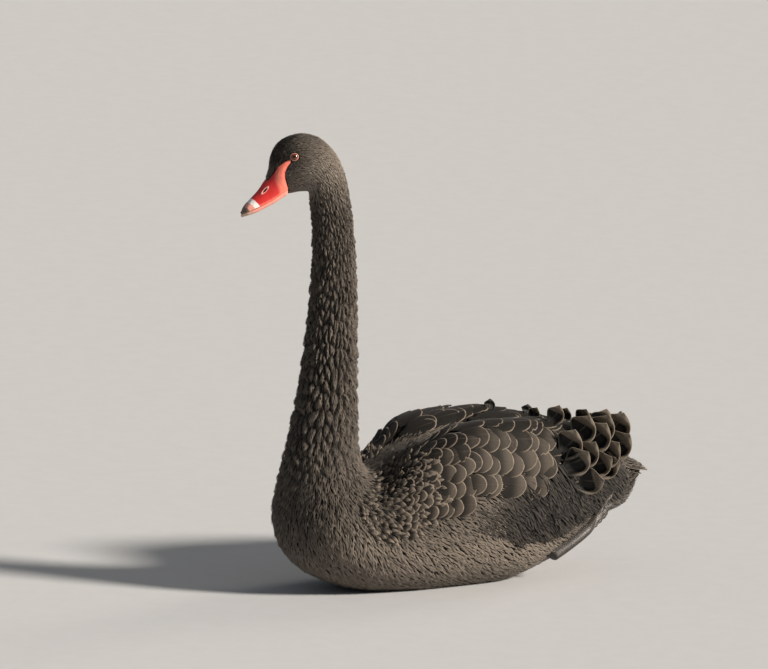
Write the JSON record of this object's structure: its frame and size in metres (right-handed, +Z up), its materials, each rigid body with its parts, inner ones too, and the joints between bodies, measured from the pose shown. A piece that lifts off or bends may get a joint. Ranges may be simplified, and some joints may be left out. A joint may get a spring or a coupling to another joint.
{
  "type": "bird figure",
  "caption": "Life-size still model of a black swan resting on its belly, neck raised, head turned a little to one side, folded wings with ruffled curled feathers and a red bill.",
  "frame": {"origin": "on the floor, on the flat of the belly below the middle of the back, in the bird's middle plane", "axes": "+X is the bird's left, +Y runs towards its tail, +Z is up; the neck rises at -Y and the floor is Z = 0"},
  "size_m": [0.2829, 0.668, 0.6922],
  "materials": {
    "plumage": "soft matte dark grey-brown feathers with paler edges",
    "bill": "smooth satin red horn and bare red skin, with a white band near the tip",
    "eye": "wet gloss, dark pupil and red-brown iris",
    "foot": "dull scaly dark grey skin"
  },
  "bodies": {
    "root": {"torso": "plumage", "neck_base": "plumage", "neck_lower": "plumage", "neck_middle": "plumage", "neck_upper": "plumage", "head": "plumage", "bill_upper": "bill", "bill_lower": "bill", "eye_left": "eye", "eye_right": "eye", "wing_left": "plumage", "wing_right": "plumage", "foot_left": "foot", "foot_right": "foot", "tail": "plumage"}
  },
  "joints": []
}
